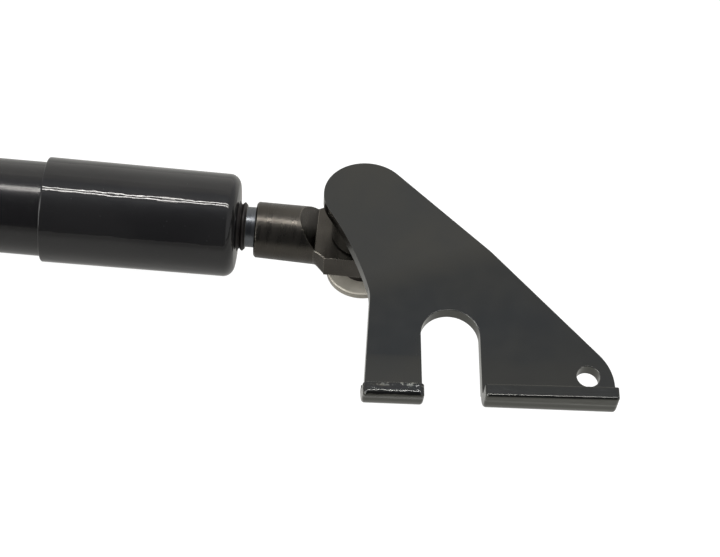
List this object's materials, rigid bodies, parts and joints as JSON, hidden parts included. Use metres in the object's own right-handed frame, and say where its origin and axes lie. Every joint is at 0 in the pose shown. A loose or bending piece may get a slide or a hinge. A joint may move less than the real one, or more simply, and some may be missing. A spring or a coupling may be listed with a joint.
{
  "type": "gas strut stay",
  "caption": "Gas strut stay with an eye fitting and a pivoting bent bracket that has an open slot and turned-up lips, and a plain pivoting plate on the rod end.",
  "frame": {"origin": "centre of the bracket's open slot, on the underside of the plate", "axes": "+X along the strut from the rod end to the bracket end, +Z along the pivot pins towards the bracket plates"},
  "size_m": [0.4696, 0.079, 0.0302],
  "materials": {
    "gloss_black": "gloss black enamel",
    "black_cap": "gloss",
    "dark_nickel": "satin dark nickel plate",
    "black_nickel": "bright black nickel plate",
    "zinc": "bright zinc plate",
    "spring_steel": "phosphated",
    "ground_chrome": "ground and polished",
    "plain_steel": "turned",
    "alloy": "turned",
    "bearing_bronze": "sintered",
    "rubber": "matt",
    "guide_plastic": "moulded"
  },
  "bodies": {
    "cylinder": {"cylinder_tube": "gloss_black", "end_sleeve": "black_cap", "end_plug": "plain_steel", "end_plug_seal": "rubber", "cylinder_end_fitting": "dark_nickel", "cylinder_end_bush": "spring_steel", "rod_guide": "guide_plastic", "rod_seal": "rubber", "seal_washer": "plain_steel", "stop_ring": "plain_steel", "rod_wiper": "rubber"},
    "piston_seal": {"piston_ring": "rubber"},
    "rod": {"piston_rod": "ground_chrome", "piston": "alloy", "valve_disc": "plain_steel", "piston_nut": "plain_steel", "rod_lock_nut": "dark_nickel", "rod_end_fitting": "dark_nickel", "rod_end_bush": "spring_steel"},
    "bracket": {"bracket_plate": "black_nickel", "bracket_stud": "black_nickel", "bracket_washer": "zinc", "bracket_clip": "spring_steel"},
    "rod_bracket": {"rod_bracket_plate": "black_nickel", "rod_bracket_stud": "black_nickel", "rod_bracket_washer": "zinc", "rod_bracket_clip": "spring_steel"}
  },
  "joints": [
    {"name": "rod_slide", "type": "slide", "parent": "cylinder", "child": "piston_seal", "axis": [1, 0, 0], "range_m": [0, 0.12], "stiffness_N_per_m": 40, "springref_m": -0.05},
    {"name": "rod_spin", "type": "hinge", "parent": "piston_seal", "child": "rod", "pos_m": [-0.39424, 0.03663, -0.00939], "axis": [1, 0, 0], "continuous": true},
    {"name": "bracket_swing", "type": "hinge", "parent": "cylinder", "child": "bracket", "pos_m": [-0.02124, 0.03663, -0.00939], "axis": [0, 0, 1], "range_deg": [-65, 190]},
    {"name": "rod_bracket_swing", "type": "hinge", "parent": "rod", "child": "rod_bracket", "pos_m": [-0.39424, 0.03663, -0.00939], "axis": [0, 0, 1], "continuous": true}
  ]
}
